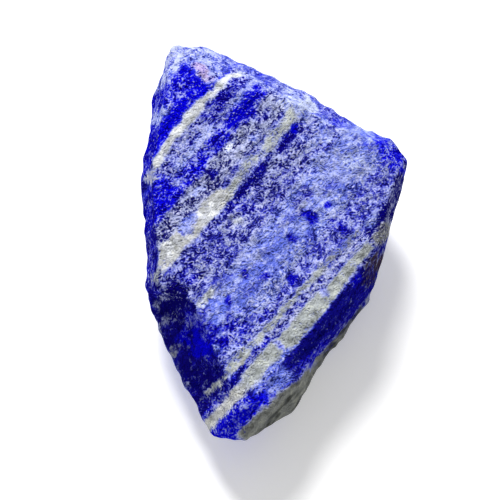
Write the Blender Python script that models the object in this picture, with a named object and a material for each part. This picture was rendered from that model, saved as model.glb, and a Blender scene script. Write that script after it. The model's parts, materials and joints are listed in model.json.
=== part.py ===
"""Rough lapis lazuli: one broken hand piece of blue rock, lying on its back with its main face up.

The stone is modelled the way it came to be. A block is split along flat fracture planes, three
deeper chips are broken out of its edges, and the broken surface is then roughened with lumps,
with ledges that follow the bedding of the rock, with raised calcite veins and with a few scoops.
A small flat spot is ground on the underside, on which the stone rests.

Units are metres, +Z is up, +Y runs to the broad end of the stone and -Y to its pointed tip.
"""
import math

import bmesh
import bpy
from mathutils import Vector, noise

MM = 0.001
NODE_NAME = "lapis_stone"

# The finished stone is about 51 mm wide, 83 mm long and 25 mm thick. The block that it is split
# from is larger than that all round.
BLOCK_SIDE = 130.0 * MM
HEART_HEIGHT = 12.0 * MM

# Each fracture is a flat break: heading and lean of its outward direction in degrees, and its
# reach in millimetres from the heart of the stone, which lies HEART_HEIGHT above the floor.
# Heading 0 is +X and 90 is +Y; lean is upwards.
FRACTURES = {
    "main face": (-90.0, 83.7, 9.9),
    "top bevel": (60.2, 47.3, 25.0),
    "top bevel west": (68.4, 59.5, 23.2),
    "north west corner": (118.7, 67.6, 25.4),
    "west upper": (172.3, 14.5, 26.4),
    "west middle": (-175.8, 10.2, 23.6),
    "west lower": (-172.7, 10.4, 24.0),
    "tip slope": (-140.4, 54.3, 20.3),
    "tip": (-98.0, 3.0, 41.8),
    "south east wedge": (-44.3, 2.0, 24.2),
    "east middle": (-20.0, 14.4, 20.4),
    "east lower": (-26.0, -1.4, 21.0),
    "east upper": (-17.0, 4.0, 19.6),
    "north east corner": (18.5, 36.4, 26.9),
    "north wall": (65.2, 2.0, 32.1),
    "north wall east": (52.0, -6.0, 27.6),
    "north west wall": (104.0, 5.0, 43.9),
    "north west wall end": (146.0, 6.0, 39.9),
    "under west": (-176.0, -42.0, 19.3),
    "under south west": (-150.0, -40.0, 23.8),
    "under tip": (-110.0, -38.0, 34.0),
    "under tip east": (-77.0, -43.0, 26.6),
    "under south east": (-58.0, -30.0, 30.4),
    "under east": (-30.0, -38.0, 18.3),
    "under north east": (0.0, -45.0, 17.8),
    "under north": (65.0, -48.0, 26.2),
    "under north west": (120.0, -45.0, 36.8),
    "sole tip": (-100.0, -79.0, 13.6),
    "sole north": (70.0, -80.0, 13.6),
    "sole west": (172.0, -78.0, 13.4),
}

# A chip is broken out where the material lies outside both of its two planes.
CHIPS = {
    "west chip": ((-153.3, 30.6, 21.4), (-109.2, -9.3, 17.0)),
    "east ledge": ((-38.9, 14.4, 20.0), (-27.0, 64.5, 12.4)),
    "east wall": ((-38.6, -1.4, 19.8), (-24.0, 0.0, 16.6)),
}

# The rock is bedded: thin sheets of blue lazurite and of white calcite, seen edge-on.
ACROSS_BEDS = Vector((0.766, -0.568, -0.302)).normalized()
ALONG_BEDS = Vector((0.643, 0.676, 0.360)).normalized()
DOWN_BEDS = ACROSS_BEDS.cross(ALONG_BEDS).normalized()

# Calcite veins that stand proud: middle and half width across the beds, and rise, in mm.
VEINS = {
    "upper vein": (-27.5, 1.2, 0.25),
    "broad vein": (-15.0, 2.4, 0.35),
    "thin vein": (9.0, 1.0, 0.25),
    "lower vein": (13.2, 1.9, 0.40),
}

# Scoops and knobs: middle of each in millimetres from the heart, its radius, and how far it
# sinks below (negative) or stands above the break.
SCOOPS_AND_KNOBS = {
    "east scoop": ((20.6, 7.0, 3.0), 5.5, -1.2),
    "west notch": ((-25.2, 7.4, 0.0), 1.4, -0.9),
    "wedge scoop": ((7.7, -23.7, -3.0), 4.0, -0.8),
    "west bruise": ((-21.0, -17.0, 0.0), 5.0, -0.5),
    "north scoop": ((4.0, 27.0, -2.0), 9.0, -0.8),
    "under scoop": ((-8.0, 22.0, -9.0), 8.0, -0.7),
    "face dip": ((12.0, 20.0, 12.0), 9.0, -0.35),
    "calcite knob": ((18.4, -3.6, 8.0), 2.6, 1.1),
}

# Round relief of the break: height in millimetres, waves per millimetre, and a shift in waves that
# keeps the patterns apart.
ROUND_RELIEF = {
    "lumps": (0.50, 0.085, (0.0, 0.0, 0.0)),
    "knobs": (0.34, 0.23, (7.0, 3.0, 1.0)),
    "grit": (0.22, 0.55, (2.0, 8.0, 5.0)),
}

# Relief that follows the beds: height in millimetres, waves per millimetre across and along them,
# and a shift. It comes and goes in patches: their middle strength, waves per millimetre and shift.
BEDDED_RELIEF = {
    "ledges": (0.30, 0.40, 0.05, 4.0),
    "hackles": (0.22, 0.85, 0.22, 9.0),
}
PATCH_STRENGTH = 0.6
PATCH_WAVES = 0.11
PATCH_SHIFT = (11.0, 5.0, 2.0)

# The beds wander across by up to this many millimetres, with this many waves per millimetre.
BED_WANDER = 0.9
WANDER_ALONG = 0.06
WANDER_ACROSS = 0.03

# Mesh of the stone: size of the even cells before roughening, triangles kept after it, how much is
# ground off under the stone, and how near to that level a point counts as part of the flat spot.
VOXEL = 0.5 * MM
TRIANGLES = 8200
BASE_CUT = 0.45 * MM
FLAT_WITHIN = 0.04 * MM
ON_PLANE = 1e-7

LAPIS_BLUE = (0.09, 0.11, 0.52, 1.0)
BREAK_ROUGHNESS = 0.5


def remove_old_objects():
    """Clear the scene of whatever it holds."""
    for old in list(bpy.data.objects):
        bpy.data.objects.remove(old, do_unlink=True)


def outward(heading, lean):
    """Unit direction from a heading and a lean in degrees."""
    turn = math.radians(heading)
    rise = math.radians(lean)
    return Vector((math.cos(turn) * math.cos(rise), math.sin(turn) * math.cos(rise), math.sin(rise)))


def split(block, point, direction):
    """Break off everything on the outer side of a plane and close the break with a flat face."""
    everything = block.verts[:] + block.edges[:] + block.faces[:]
    cut = bmesh.ops.bisect_plane(
        block, geom=everything, dist=ON_PLANE, plane_co=point, plane_no=direction, clear_outer=True
    )
    rim = [piece for piece in cut["geom_cut"] if isinstance(piece, bmesh.types.BMEdge)]
    if rim:
        bmesh.ops.edgeloop_fill(block, edges=rim)


def block_object(name, planes):
    """A block split along each (direction, reach) plane, as a new object."""
    heart = Vector((0.0, 0.0, HEART_HEIGHT))
    block = bmesh.new()
    bmesh.ops.create_cube(block, size=BLOCK_SIDE)
    bmesh.ops.translate(block, vec=heart, verts=block.verts)
    for direction, reach in planes:
        split(block, heart + direction * reach, direction)
    bmesh.ops.recalc_face_normals(block, faces=block.faces)
    mesh = bpy.data.meshes.new(name)
    block.to_mesh(mesh)
    block.free()
    stone = bpy.data.objects.new(name, mesh)
    bpy.context.scene.collection.objects.link(stone)
    return stone


def apply_modifiers(stone):
    """Replace an object's mesh by what its modifiers make of it."""
    view = bpy.context.evaluated_depsgraph_get()
    mesh = bpy.data.meshes.new_from_object(stone.evaluated_get(view))
    old = stone.data
    stone.modifiers.clear()
    stone.data = mesh
    bpy.data.meshes.remove(old)


def break_out_chips(stone):
    """Take the chips out of the edges of the stone."""
    for name, planes in CHIPS.items():
        sides = [(-outward(heading, lean), -reach * MM) for heading, lean, reach in planes]
        chip = block_object(name, sides)
        cut = stone.modifiers.new(name, "BOOLEAN")
        cut.operation = "DIFFERENCE"
        cut.solver = "EXACT"
        cut.object = chip
        apply_modifiers(stone)
        bpy.data.objects.remove(chip, do_unlink=True)


def even_mesh(stone):
    """Give the flat breaks an even, fine mesh that can be roughened."""
    remesh = stone.modifiers.new("even mesh", "REMESH")
    remesh.mode = "VOXEL"
    remesh.voxel_size = VOXEL
    apply_modifiers(stone)


def bump(distance, half_width):
    """1 on a line and 0 beyond about twice its half width."""
    return math.exp(-((distance / half_width) ** 2))


def rise_at(place):
    """How far the broken surface stands out at a place given in millimetres."""
    across = place.dot(ACROSS_BEDS)
    along = place.dot(ALONG_BEDS)
    down = place.dot(DOWN_BEDS)
    slow = Vector((along * WANDER_ALONG, down * WANDER_ALONG, across * WANDER_ACROSS))
    bed = across + BED_WANDER * noise.noise(slow)
    rise = 0.0
    for height, waves, shift in ROUND_RELIEF.values():
        rise += height * noise.noise(place * waves + Vector(shift))
    patch = PATCH_STRENGTH + noise.noise(place * PATCH_WAVES + Vector(PATCH_SHIFT))
    for height, waves, slow_waves, shift in BEDDED_RELIEF.values():
        spot = Vector((bed * waves, along * slow_waves, down * slow_waves + shift))
        rise += height * patch * noise.noise(spot)
    for middle, half_width, height in VEINS.values():
        rise += height * bump(bed - middle, half_width)
    for middle, radius, height in SCOOPS_AND_KNOBS.values():
        rise += height * bump((place - Vector(middle)).length, radius)
    return rise


def roughen(stone):
    """Move each point of the even mesh along its normal by the rise of the broken surface."""
    mesh = stone.data
    heart = Vector((0.0, 0.0, HEART_HEIGHT))
    normals = [vertex.normal.copy() for vertex in mesh.vertices]
    for vertex, normal in zip(mesh.vertices, normals):
        place = (vertex.co - heart) / MM
        vertex.co += normal * rise_at(place) * MM
    mesh.update()


def grind_base(stone):
    """Grind away the lowest part of the stone, which leaves the flat spot that it rests on."""
    shape = bmesh.new()
    shape.from_mesh(stone.data)
    split(shape, Vector((0.0, 0.0, BASE_CUT)), Vector((0.0, 0.0, -1.0)))
    bmesh.ops.triangulate(shape, faces=shape.faces)
    shape.to_mesh(stone.data)
    shape.free()


def thin_out(stone):
    """Keep the triangles that the edges and lumps need."""
    collapse = stone.modifiers.new("thin out", "DECIMATE")
    collapse.ratio = TRIANGLES / len(stone.data.polygons)
    collapse.use_collapse_triangulate = True
    apply_modifiers(stone)


def stand_on_origin(stone):
    """Level the flat spot exactly, and bring its height and the stone's middle to the origin."""
    shape = bmesh.new()
    shape.from_mesh(stone.data)
    for vertex in shape.verts:
        if vertex.co.z < BASE_CUT + FLAT_WITHIN:
            vertex.co.z = BASE_CUT
    low = [min(vertex.co[axis] for vertex in shape.verts) for axis in range(3)]
    high = [max(vertex.co[axis] for vertex in shape.verts) for axis in range(3)]
    middle = Vector(((low[0] + high[0]) / 2, (low[1] + high[1]) / 2, BASE_CUT))
    bmesh.ops.translate(shape, vec=-middle, verts=shape.verts)
    shape.to_mesh(stone.data)
    shape.free()
    print("moved to the origin by", [round(-value / MM, 3) for value in middle], "mm")


def lapis_material():
    """Deep blue rock with a dull broken surface."""
    material = bpy.data.materials.new("lapis")
    material.use_nodes = True
    surface = material.node_tree.nodes["Principled BSDF"]
    surface.inputs["Base Color"].default_value = LAPIS_BLUE
    surface.inputs["Roughness"].default_value = BREAK_ROUGHNESS
    surface.inputs["Metallic"].default_value = 0.0
    return material


def make_stone():
    """The whole stone, as one closed solid."""
    planes = [(outward(heading, lean), reach * MM) for heading, lean, reach in FRACTURES.values()]
    planes.append((Vector((0.0, 0.0, -1.0)), HEART_HEIGHT))
    stone = block_object(NODE_NAME, planes)
    break_out_chips(stone)
    even_mesh(stone)
    roughen(stone)
    grind_base(stone)
    thin_out(stone)
    stand_on_origin(stone)
    stone.data.materials.clear()
    stone.data.materials.append(lapis_material())
    stone.data.shade_flat()
    return stone


remove_old_objects()
make_stone()
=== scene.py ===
# %% [markdown]
# Rough lapis lazuli. The stone is one broken lump of blue rock. The solid model already has its
# breaks, its ledges and its scoops, so this lesson dresses it: a finer skin with the grain of the
# broken rock, the beds and veins of its minerals, and a light that brings both out.
#
# The first cell clears Blender's starting scene of its cube, lamp and camera, and loads the solid
# model. Its box is kept, because the finer skin has to stay inside it. Lengths in this lesson are
# millimetres, and MM turns them into Blender's metres.

import json
import math
from itertools import product

import bpy
import numpy as np
from mathutils import Matrix, Vector

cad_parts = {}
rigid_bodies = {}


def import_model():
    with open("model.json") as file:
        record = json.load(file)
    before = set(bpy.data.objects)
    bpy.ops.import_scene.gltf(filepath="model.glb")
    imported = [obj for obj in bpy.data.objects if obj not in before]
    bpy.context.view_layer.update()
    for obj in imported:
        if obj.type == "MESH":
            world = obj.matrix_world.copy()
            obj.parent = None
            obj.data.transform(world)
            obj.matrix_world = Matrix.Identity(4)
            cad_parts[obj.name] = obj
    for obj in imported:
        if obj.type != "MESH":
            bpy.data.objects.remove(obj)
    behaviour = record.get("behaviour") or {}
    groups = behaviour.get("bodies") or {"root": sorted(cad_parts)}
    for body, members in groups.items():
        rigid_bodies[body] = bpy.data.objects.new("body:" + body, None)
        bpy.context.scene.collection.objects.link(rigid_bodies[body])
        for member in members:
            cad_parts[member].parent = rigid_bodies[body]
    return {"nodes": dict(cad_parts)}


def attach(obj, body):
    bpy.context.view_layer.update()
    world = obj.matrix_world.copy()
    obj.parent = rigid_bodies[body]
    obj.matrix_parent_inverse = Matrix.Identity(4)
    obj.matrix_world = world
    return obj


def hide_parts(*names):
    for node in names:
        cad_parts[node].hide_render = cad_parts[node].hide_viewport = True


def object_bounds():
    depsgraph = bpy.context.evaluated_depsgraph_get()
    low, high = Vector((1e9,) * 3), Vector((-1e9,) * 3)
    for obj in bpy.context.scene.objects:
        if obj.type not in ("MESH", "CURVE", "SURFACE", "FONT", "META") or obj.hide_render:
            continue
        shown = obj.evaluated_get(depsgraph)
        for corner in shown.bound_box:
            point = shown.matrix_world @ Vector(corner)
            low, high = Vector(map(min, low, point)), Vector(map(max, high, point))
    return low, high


for old in list(bpy.data.objects):
    bpy.data.objects.remove(old)
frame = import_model()
cad_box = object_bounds()
MM = 0.001
lowest = np.array(cad_box[0]) / MM
highest = np.array(cad_box[1]) / MM
print("the stone measures", np.round(highest - lowest, 1), "mm")

# %% [markdown]
# The rock is a pile of thin beds, and the photograph looks along them, edge-on. So a place in the
# stone is best told in three directions: across the beds, along them, and down into the stone,
# away from the eye. They are worked out from the way the eye looks, because the beds are measured
# as they are seen, from an origin close to the heart of the stone.

# %% Directions in the rock, and the heart of the stone
HEART = np.array([0.2, -1.0, 11.55])
ELEVATION = math.radians(62)
EYE_DISTANCE = 450.0
BED_TILT = math.radians(50)
ORIGIN_UP = 0.95
ORIGIN_LEFT = 0.1

picture_right = np.array([1.0, 0.0, 0.0])
picture_up = np.array([0.0, math.sin(ELEVATION), math.cos(ELEVATION)])
to_eye = np.array([0.0, -math.cos(ELEVATION), math.sin(ELEVATION)])
ALONG = math.cos(BED_TILT) * picture_right + math.sin(BED_TILT) * picture_up
ACROSS = math.sin(BED_TILT) * picture_right - math.cos(BED_TILT) * picture_up
BED_ORIGIN = HEART + ORIGIN_UP * picture_up - ORIGIN_LEFT * picture_right
print("across the beds", np.round(ACROSS, 3), "along them", np.round(ALONG, 3))

# %% [markdown]
# Broken rock needs noise: smooth random hills for its lumps, its ledges and its colours. Blender's
# own noise function works on one point at a time, and a loop over each vertex is slow, so the
# noise is written here for whole arrays of points.

# %% Smooth noise for many points at once
CORNERS = np.array(list(product((0, 1), repeat=3)))
# brings the highest hills to about 1
HILL_SCALE = 1.6
OCTAVE_DROP = 0.55


def unit_rows(rows):
    """Each row as a unit direction."""
    return rows / np.linalg.norm(rows, axis=-1)[..., None]


def shuffled(cells, seed):
    """A number from 0 to 255 for each whole-number cell: one shuffled table, read once per axis."""
    table = np.random.default_rng(seed).permutation(256)
    column = table[cells[..., 0] & 255]
    row = table[(column + cells[..., 1]) & 255]
    return table[(row + cells[..., 2]) & 255]


def hills(place, size, seed):
    """Gradient noise from about -1 to 1. Each corner of a point's cell has a random slope, and the
    point blends the eight slopes by its smoothed distance to them: 6t^5 - 15t^4 + 10t^3."""
    slopes = unit_rows(np.random.default_rng(seed + 1000).normal(size=(256, 3)))
    scaled = place / size
    cell = np.floor(scaled).astype(int)
    inside = scaled - cell
    ease = inside ** 3 * (inside * (inside * 6 - 15) + 10)
    total = np.zeros(len(place))
    for corner in CORNERS:
        slope = slopes[shuffled(cell + corner, seed)]
        weight = np.prod(np.where(corner == 1, ease, 1 - ease), axis=1)
        total += weight * np.sum(slope * (inside - corner), axis=1)
    return HILL_SCALE * total


def rough_hills(place, size, octaves, seed):
    """Hills on hills: each octave is half as wide and about half as high as the one before."""
    total = np.zeros(len(place))
    for octave in range(octaves):
        total += hills(place, size / 2 ** octave, seed + octave) * OCTAVE_DROP ** octave
    return total


def smooth_step(value, low, high):
    """0 at low, 1 at high, 3t^2 - 2t^3 between them and flat beyond. Low may be above high."""
    part = np.clip((value - low) / (high - low), 0, 1)
    return part * part * (3 - 2 * part)


print("a smooth step at its quarters", smooth_step(np.linspace(0, 1, 5), 0, 1))

# %% [markdown]
# Calcite breaks into sugary grains. Each grain is a little dome round a random point, and where
# two domes meet there is a crease. Blender has a texture of such cells, but that, too, would be
# asked for one point at a time, so it is worked out here for an array of points.

# %% Grains for many points at once
NEIGHBOURS = np.array(list(product((-1, 0, 1), repeat=3)))
FAR_AWAY = 9.0


def grains(place, size, seed):
    """Height from 0 to 1 of rounded grains. Each cell of space holds one random point, and the
    height is 1 less the squared distance to the nearest of them."""
    # four numbers are drawn for each spot, and the first three are its place
    spots = np.random.default_rng(seed).random((256, 4))[:, :3]
    scaled = place / size
    cell = np.floor(scaled).astype(int)
    nearest = np.full(len(place), FAR_AWAY)
    for step in NEIGHBOURS:
        spot = spots[shuffled(cell + step, seed)]
        far = np.sum((cell + step + spot - scaled) ** 2, axis=1)
        nearest = np.minimum(nearest, far)
    return np.clip(1 - nearest, 0, 1)


print("each point looks for its grain in", len(NEIGHBOURS), "cells")

# %% [markdown]
# The skin is a grid of two parameters on each side of a box, blown up to the stone: each point of
# the grid looks out from the heart of the stone, and goes as far as the solid reaches that way. A
# voxel remesh of the solid would also do, but a grid is plain arrays of points and quads from the
# start, and the next steps smooth and raise it as such. Its cells are about 0.4 mm wide.

# %% A box of grids with shared edges
CELL = 0.425
counts = np.round((highest - lowest) / CELL).astype(int)


def box_of_grids(cells):
    """Corners of the cells on a box's surface as whole numbers, and its outward quads. The number
    of a corner is looked up in a block of indices, so the six sides share their edges."""
    nx, ny, nz = cells
    i, j, k = np.meshgrid(*(np.arange(n + 1) for n in cells), indexing="ij")
    outside = (i % nx == 0) | (j % ny == 0) | (k % nz == 0)
    number = np.full(outside.shape, -1)
    number[outside] = np.arange(outside.sum())
    corners = np.stack([i[outside], j[outside], k[outside]], axis=1)
    left_and_right = [number[0].T, number[-1]]
    front_and_back = [number[:, 0], number[:, -1].T]
    bottom_and_top = [number[:, :, 0].T, number[:, :, -1]]
    quads = []
    for side in left_and_right + front_and_back + bottom_and_top:
        ring = [side[:-1, :-1], side[1:, :-1], side[1:, 1:], side[:-1, 1:]]
        quads.append(np.stack(ring, axis=-1).reshape(-1, 4))
    return corners, np.concatenate(quads)


corners, quads = box_of_grids(counts)
unit = 2 * corners / counts - 1
looks = unit_rows(unit * (highest - lowest) / 2)
print(len(corners), "points,", 2 * len(quads), "triangles")

# %% [markdown]
# How far does the solid reach in a direction? A line from the heart meets a triangle where the
# direction is a sum of the triangle's three corners with no negative share, and the reach is one
# over the sum of the shares. Blender's ray_cast would ask for one line at a time; here a matrix
# asks for a patch of lines against the few triangles that the patch can see.

# %% Reach of the solid in every direction
# a line that just misses a triangle still counts as through it, so that none slips between two
EDGE_SLACK = 1e-4
TINY = 1e-9
PATCH_CELLS = 20
cad = frame["nodes"]["lapis_stone"].data
cad.calc_loop_triangles()
cad_points = np.empty(len(cad.vertices) * 3)
cad.vertices.foreach_get("co", cad_points)
cad_points = cad_points.reshape(-1, 3) / MM - HEART
cad_triangles = np.empty(len(cad.loop_triangles) * 3, int)
cad.loop_triangles.foreach_get("vertices", cad_triangles)
cad_triangles = cad_points[cad_triangles.reshape(-1, 3)]


def widest_angle(rows, middle):
    """Largest angle between any of the rows and a direction."""
    return np.arccos(np.clip((rows * middle).sum(axis=-1), -1, 1)).max(axis=-1)


def reach_of_solid(directions, triangles, patches):
    """Distance along each direction to the farthest triangle that it goes through. A patch of
    directions is only held against the triangles whose cone touches the patch's own cone."""
    shares = np.linalg.inv(np.transpose(triangles, (0, 2, 1)))
    seen = unit_rows(triangles)
    pointing = unit_rows(seen.mean(axis=1))
    width = widest_angle(seen, pointing[:, None])
    reach = np.zeros(len(directions))
    for patch in np.unique(patches):
        members = np.flatnonzero(patches == patch)
        middle = unit_rows(directions[members].mean(axis=0))
        spread = widest_angle(directions[members], middle)
        near = np.arccos(np.clip(pointing @ middle, -1, 1)) < spread + width + EDGE_SLACK
        found = np.einsum("txy,ny->ntx", shares[near], directions[members])
        inside = found.min(axis=2) > -EDGE_SLACK
        distance = np.where(inside, 1 / np.maximum(found.sum(axis=2), TINY), 0)
        reach[members] = distance.max(axis=1)
    return reach


patches = np.unique(corners // PATCH_CELLS, axis=0, return_inverse=True)[1].ravel()
reach = reach_of_solid(looks, cad_triangles, patches)
print("reach from", reach.min().round(1), "to", reach.max().round(1), "mm, missed", np.sum(reach == 0))
skin = HEART + looks * reach[:, None]

# %% [markdown]
# The solid's triangles are one or two millimetres wide. Sliding each point towards the middle of
# its neighbours rounds them off, and a push back the other way keeps the stone from shrinking. The
# Smooth modifier slides points in the same way, but without the push back.
#
# What stands out wears first, so the outline of the stone is rounder than its face. A second,
# rounder copy is made, and the points that turn away from the eye go over to it, without a seam.

# %% Round off the triangles of the solid
edges = np.concatenate([quads[:, [a, (a + 1) % 4]] for a in range(4)])
edge_count = np.bincount(edges[:, 0], minlength=len(skin))
SLIDE_AND_PUSH = (0.55, -0.57)
FACE_ROUNDS = 4
WORN_ROUNDS = 30
BLEND_ROUNDS = 4
# 1 is straight at the eye: below the first a point is fully worn, above the second not at all
TURNED_FULLY = 0.40
TURNED_START = 0.80


def neighbour_mean(values):
    """Mean over each point's neighbours, for numbers or for vectors: sums along the edges."""
    sums = []
    for column in values.reshape(len(values), -1).T:
        sums.append(np.bincount(edges[:, 0], weights=column[edges[:, 1]], minlength=len(values)))
    return (np.array(sums) / edge_count).T.reshape(values.shape)


def rounded(points, rounds):
    """The points after some rounds of sliding to the middle of their neighbours and back."""
    for push in SLIDE_AND_PUSH * rounds:
        points = points + push * (neighbour_mean(points) - points)
    return points


def point_normals(points):
    """Unit normal of each point: the crossed diagonals of its quads, added up."""
    first, second, third, fourth = (points[quads[:, corner]] for corner in range(4))
    crossed = np.cross(third - first, fourth - second)
    total = np.zeros_like(points)
    for corner, axis in product(range(4), range(3)):
        total[:, axis] += np.bincount(quads[:, corner], weights=crossed[:, axis], minlength=len(points))
    return unit_rows(total)


skin = rounded(skin, FACE_ROUNDS)
worn = rounded(skin, WORN_ROUNDS)
turned_away = 1 - smooth_step(point_normals(skin) @ to_eye, TURNED_FULLY, TURNED_START)
for _ in range(BLEND_ROUNDS):
    turned_away = neighbour_mean(turned_away)
skin = skin + turned_away[:, None] * (worn - skin)
normals = point_normals(skin)
print("outward normals:", np.mean(np.sum(normals * looks, axis=1) > 0).round(3))

# %% [markdown]
# Now each point gets its place in the rock: millimetres across the beds, along them, and down from
# the eye. The photograph was taken from close by, so what is nearer looks larger; the beds are
# laid out as they are seen, opening very slightly towards the eye.

# %% Across, along and down
from_origin = skin - BED_ORIGIN
nearer = from_origin @ to_eye
opening = EYE_DISTANCE / (EYE_DISTANCE - nearer)
across = from_origin @ ACROSS * opening
along = from_origin @ ALONG * opening
down = -nearer
print("across", across.min().round(1), "to", across.max().round(1), "mm, along",
      along.min().round(1), "to", along.max().round(1), "mm")

# %% [markdown]
# The broken surface. Rock of this kind breaks into steps along its beds and into sugary grains
# where it is calcite. A Displace modifier with a texture would move points too, but only by one
# texture at a time; sums of arrays can mix lumps, ledges that follow the beds, and grains. Ledges
# and ribs come and go in patches, as on the real stone, and all are lower on its worn outline.

# %% Relief of the broken surface
LUMP_HEIGHT = 0.27
LEDGE_HEIGHT = 0.16
RIB_HEIGHT = 0.10
SUGAR_HEIGHT = 0.22
WORN_LOSS = 0.65
# how much a millimetre along or down the beds counts: the less, the longer the hills come out
BED_FLATNESS = 0.4
RIB_FLATNESS = 0.12
place = skin - HEART
bedded = np.stack([across, BED_FLATNESS * along, BED_FLATNESS * down], axis=1)
ribbed = np.stack([across, RIB_FLATNESS * along, RIB_FLATNESS * down], axis=1)
patchy = np.clip(0.8 + 0.9 * hills(place, size=8.0, seed=3), 0.15, 1.7)
steps = rough_hills(bedded, size=2.4, octaves=2, seed=21)
lumps = LUMP_HEIGHT * rough_hills(place, size=3.2, octaves=3, seed=11)
ledges = LEDGE_HEIGHT * patchy * (1 - 2 * np.abs(steps))
ribs = RIB_HEIGHT * patchy * hills(ribbed, size=0.9, seed=31)
sugar = SUGAR_HEIGHT * (grains(place, size=1.3, seed=41) - 0.5)
relief = (1 - WORN_LOSS * turned_away) * (lumps + ledges + ribs + sugar)
print("relief from", relief.min().round(2), "to", relief.max().round(2), "mm")

# %% [markdown]
# The stone lies on a small flat spot. Its points stay exactly on the floor, and the relief fades
# in over the first millimetre above it. Clipping to the solid's box makes sure that no grain
# stands out past the size of the part.

# %% Raise the relief, but not under the flat spot
FLAT_SPOT_TOP = 0.1
FULL_RELIEF_FROM = 1.0
free = smooth_step(skin[:, 2], FLAT_SPOT_TOP, FULL_RELIEF_FROM)
fine_skin = skin + normals * (relief * free)[:, None]
fine_skin = np.clip(fine_skin, lowest, highest)
resting = skin[:, 2] < FLAT_SPOT_TOP
fine_skin[resting, 2] = 0.0
print("points that rest on the floor:", resting.sum())

# %% [markdown]
# Lapis is a mixture: deep blue lazurite, white calcite, and specks that are nearly black. What
# changes from bed to bed is how much of each there is, and how milky the blue is. So each bed
# gets a tone: a white, a blue, the share of white grains and the share of dark specks. The dark
# specks are partly the rock's own and partly painted shade in the pits between its crystals. An
# image of the stone would only fit one side of it; beds laid through the rock fit every side.

# %% Colours of the minerals, as light that they give back, some darkened as painted shade
WHITES = {
    "snow": (0.62, 0.66, 0.74),
    "frost": (0.43, 0.48, 0.70),
    "ice": (0.34, 0.385, 0.73),
    "ash": (0.31, 0.345, 0.56),
    "cream": (0.52, 0.54, 0.59),
    "bone": (0.455, 0.465, 0.475),
    "chalk": (0.325, 0.350, 0.360),
    "sand": (0.36, 0.385, 0.385),
    # calcite painted grey: partly its own grey, partly painted shade where it lies on faces turned from
    # the lamp
    "grey": (0.175, 0.183, 0.175),
    "pink": (0.40, 0.32, 0.60),
    # calcite painted nearly black: painted shade on the wedge and its sliver
    "green grey": (0.058, 0.062, 0.059),
    "brown": (0.034, 0.021, 0.040),
}
BLUES = {
    "cobalt": (0.0020, 0.0012, 0.58),
    "ultramarine": (0.0020, 0.0012, 0.44),
    "deep": (0.0030, 0.0020, 0.42),
    "royal": (0.028, 0.032, 0.42),
    "azure": (0.100, 0.140, 0.62),
    "sky": (0.050, 0.068, 0.50),
    "slate": (0.025, 0.029, 0.22),
    "ink": (0.0015, 0.0010, 0.30),
    # navy is partly painted shade, on walls and faces turned from the lamp
    "navy": (0.0015, 0.0010, 0.13),
    # dusk is painted shade: the blue of the step and of the tip face
    "dusk": (0.006, 0.005, 0.25),
}
print(len(WHITES), "whites and", len(BLUES), "blues")

# %% [markdown]
# Beds in real rock are never ruled with a ruler. Noise moves every point a little before it looks
# up its bed, so the borders wander together. On the far side, which the photograph doesn't show,
# they wander further. How far a side is turned from the eye is read from normals that have been
# smoothed until they no longer see the small lumps.

# %% Beds wander a little, and more so on the far side of the stone
BROAD_ROUNDS = 12
broad_normals = normals
for _ in range(BROAD_ROUNDS):
    broad_normals = neighbour_mean(broad_normals)
broad_normals = unit_rows(broad_normals)
far_side = smooth_step(-(broad_normals @ to_eye), -0.05, 0.6)
wander = 0.40 * rough_hills(place, size=2.6, octaves=3, seed=51)
wander += 1.6 * far_side * hills(place, size=14.0, seed=61)
across_bed = across + wander
along_bed = along + 0.5 * hills(place, size=4.0, seed=71)
along_bed += 2.5 * far_side * hills(place, size=16.0, seed=81)
print("far side of the stone:", np.mean(far_side > 0.5).round(2), "of its points")
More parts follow.
